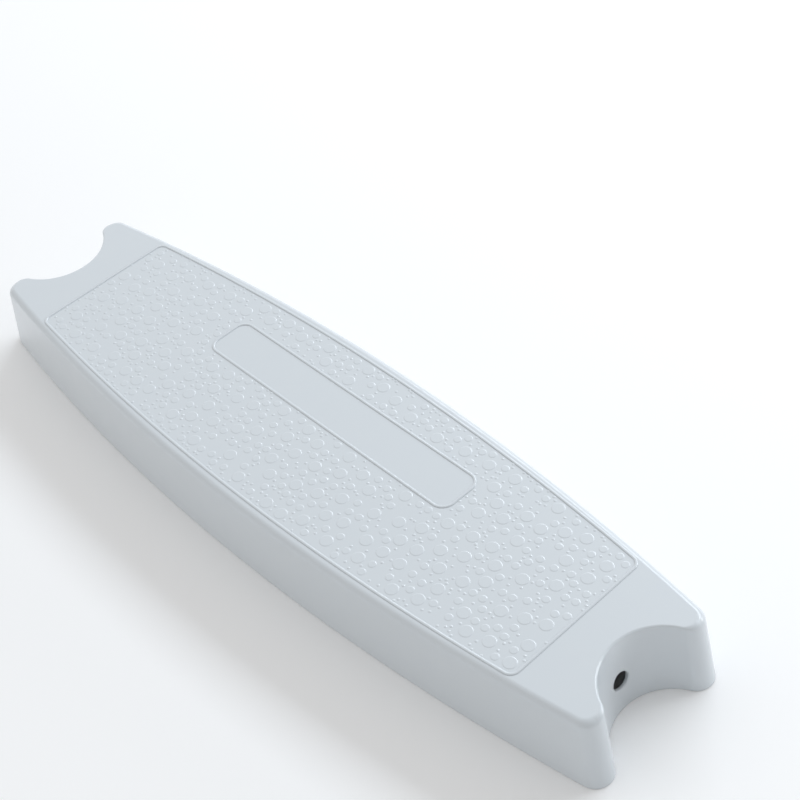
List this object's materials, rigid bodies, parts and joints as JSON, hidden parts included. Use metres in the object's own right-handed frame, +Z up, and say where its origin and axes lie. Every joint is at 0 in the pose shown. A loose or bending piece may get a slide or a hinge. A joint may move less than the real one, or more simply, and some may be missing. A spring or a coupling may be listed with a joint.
{
  "type": "ladder step",
  "caption": "Long moulded ladder step with a concave rail saddle at each end, a raised-disc anti-slip tread and captive nuts for the rail bolts.",
  "frame": {"origin": "centre of the step at the bottom rim", "axes": "+X along the step towards the right rail, +Y towards the edge that the smooth pad is nearer to, +Z up through the tread"},
  "size_m": [0.382, 0.1036, 0.0351],
  "materials": {
    "moulded_plastic": "satin",
    "carrier_plastic": "satin",
    "stainless": "satin"
  },
  "bodies": {
    "root": {"tread_shell": "moulded_plastic", "load_plate_left": "stainless", "load_plate_right": "stainless", "nut_carrier_left": "carrier_plastic", "nut_carrier_right": "carrier_plastic", "captive_nuts": "stainless"}
  },
  "joints": []
}
